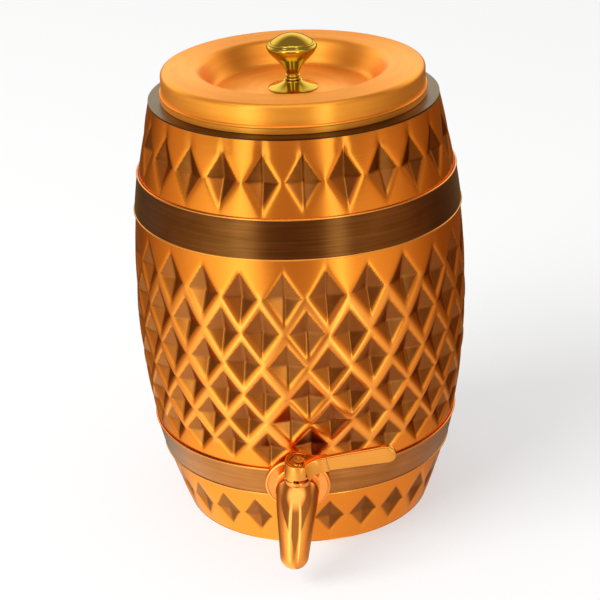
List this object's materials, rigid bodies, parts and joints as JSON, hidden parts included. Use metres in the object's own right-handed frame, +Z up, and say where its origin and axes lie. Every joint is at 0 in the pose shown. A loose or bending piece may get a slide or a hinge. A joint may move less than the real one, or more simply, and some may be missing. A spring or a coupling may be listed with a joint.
{
  "type": "drink dispenser",
  "caption": "Barrel-shaped embossed copper drink dispenser with dark hoops, a lift-off lid with a turned brass knob, and a quarter-turn lever tap low on its front.",
  "frame": {"origin": "centre of the flat base, on the surface that the dispenser stands on", "axes": "+Z up along the barrel's axis, the tap points along -Y, the shut lever points to +X"},
  "size_m": [0.1899, 0.222, 0.28],
  "materials": {
    "embossed_copper": "polished ridges with dark patina in the dents",
    "plain_copper": "plain",
    "brushed_copper": "brushed",
    "dark_hoop": "dark antique, brushed",
    "polished_brass": "polished",
    "tap_brass": "polished",
    "plain_brass": "turned",
    "dark_pin": "dark",
    "steel": "plain",
    "rubber": "matt",
    "ptfe": "matt"
  },
  "bodies": {
    "vessel": {"body_shell": "embossed_copper", "base_plate": "plain_copper", "upper_hoop": "dark_hoop", "lower_hoop": "dark_hoop", "neck_ring": "dark_hoop", "tap_body": "tap_brass", "tap_flange": "tap_brass", "outer_seal": "rubber", "inner_seal": "rubber", "back_washer": "steel", "back_nut": "plain_brass", "gland_nut": "plain_brass", "thrust_washer": "ptfe", "stop_pin": "dark_pin"},
    "lid": {"lid_shell": "brushed_copper", "lid_knob": "polished_brass", "knob_foot": "polished_brass", "knob_screw": "steel", "knob_washer": "steel"},
    "lever": {"tap_lever": "tap_brass", "lever_washer": "plain_brass", "lever_screw": "plain_brass", "tap_plug": "plain_brass", "plug_o_rings": "rubber"}
  },
  "joints": [
    {"name": "lid_lift", "type": "slide", "parent": "vessel", "child": "lid", "axis": [0, 0, 1], "range_m": [0, 0.12]},
    {"name": "tap_lever", "type": "hinge", "parent": "vessel", "child": "lever", "pos_m": [0, -0.10063, 0.04515], "axis": [-0.0698, 0.2227, -0.9724], "range_deg": [0, 90]}
  ]
}
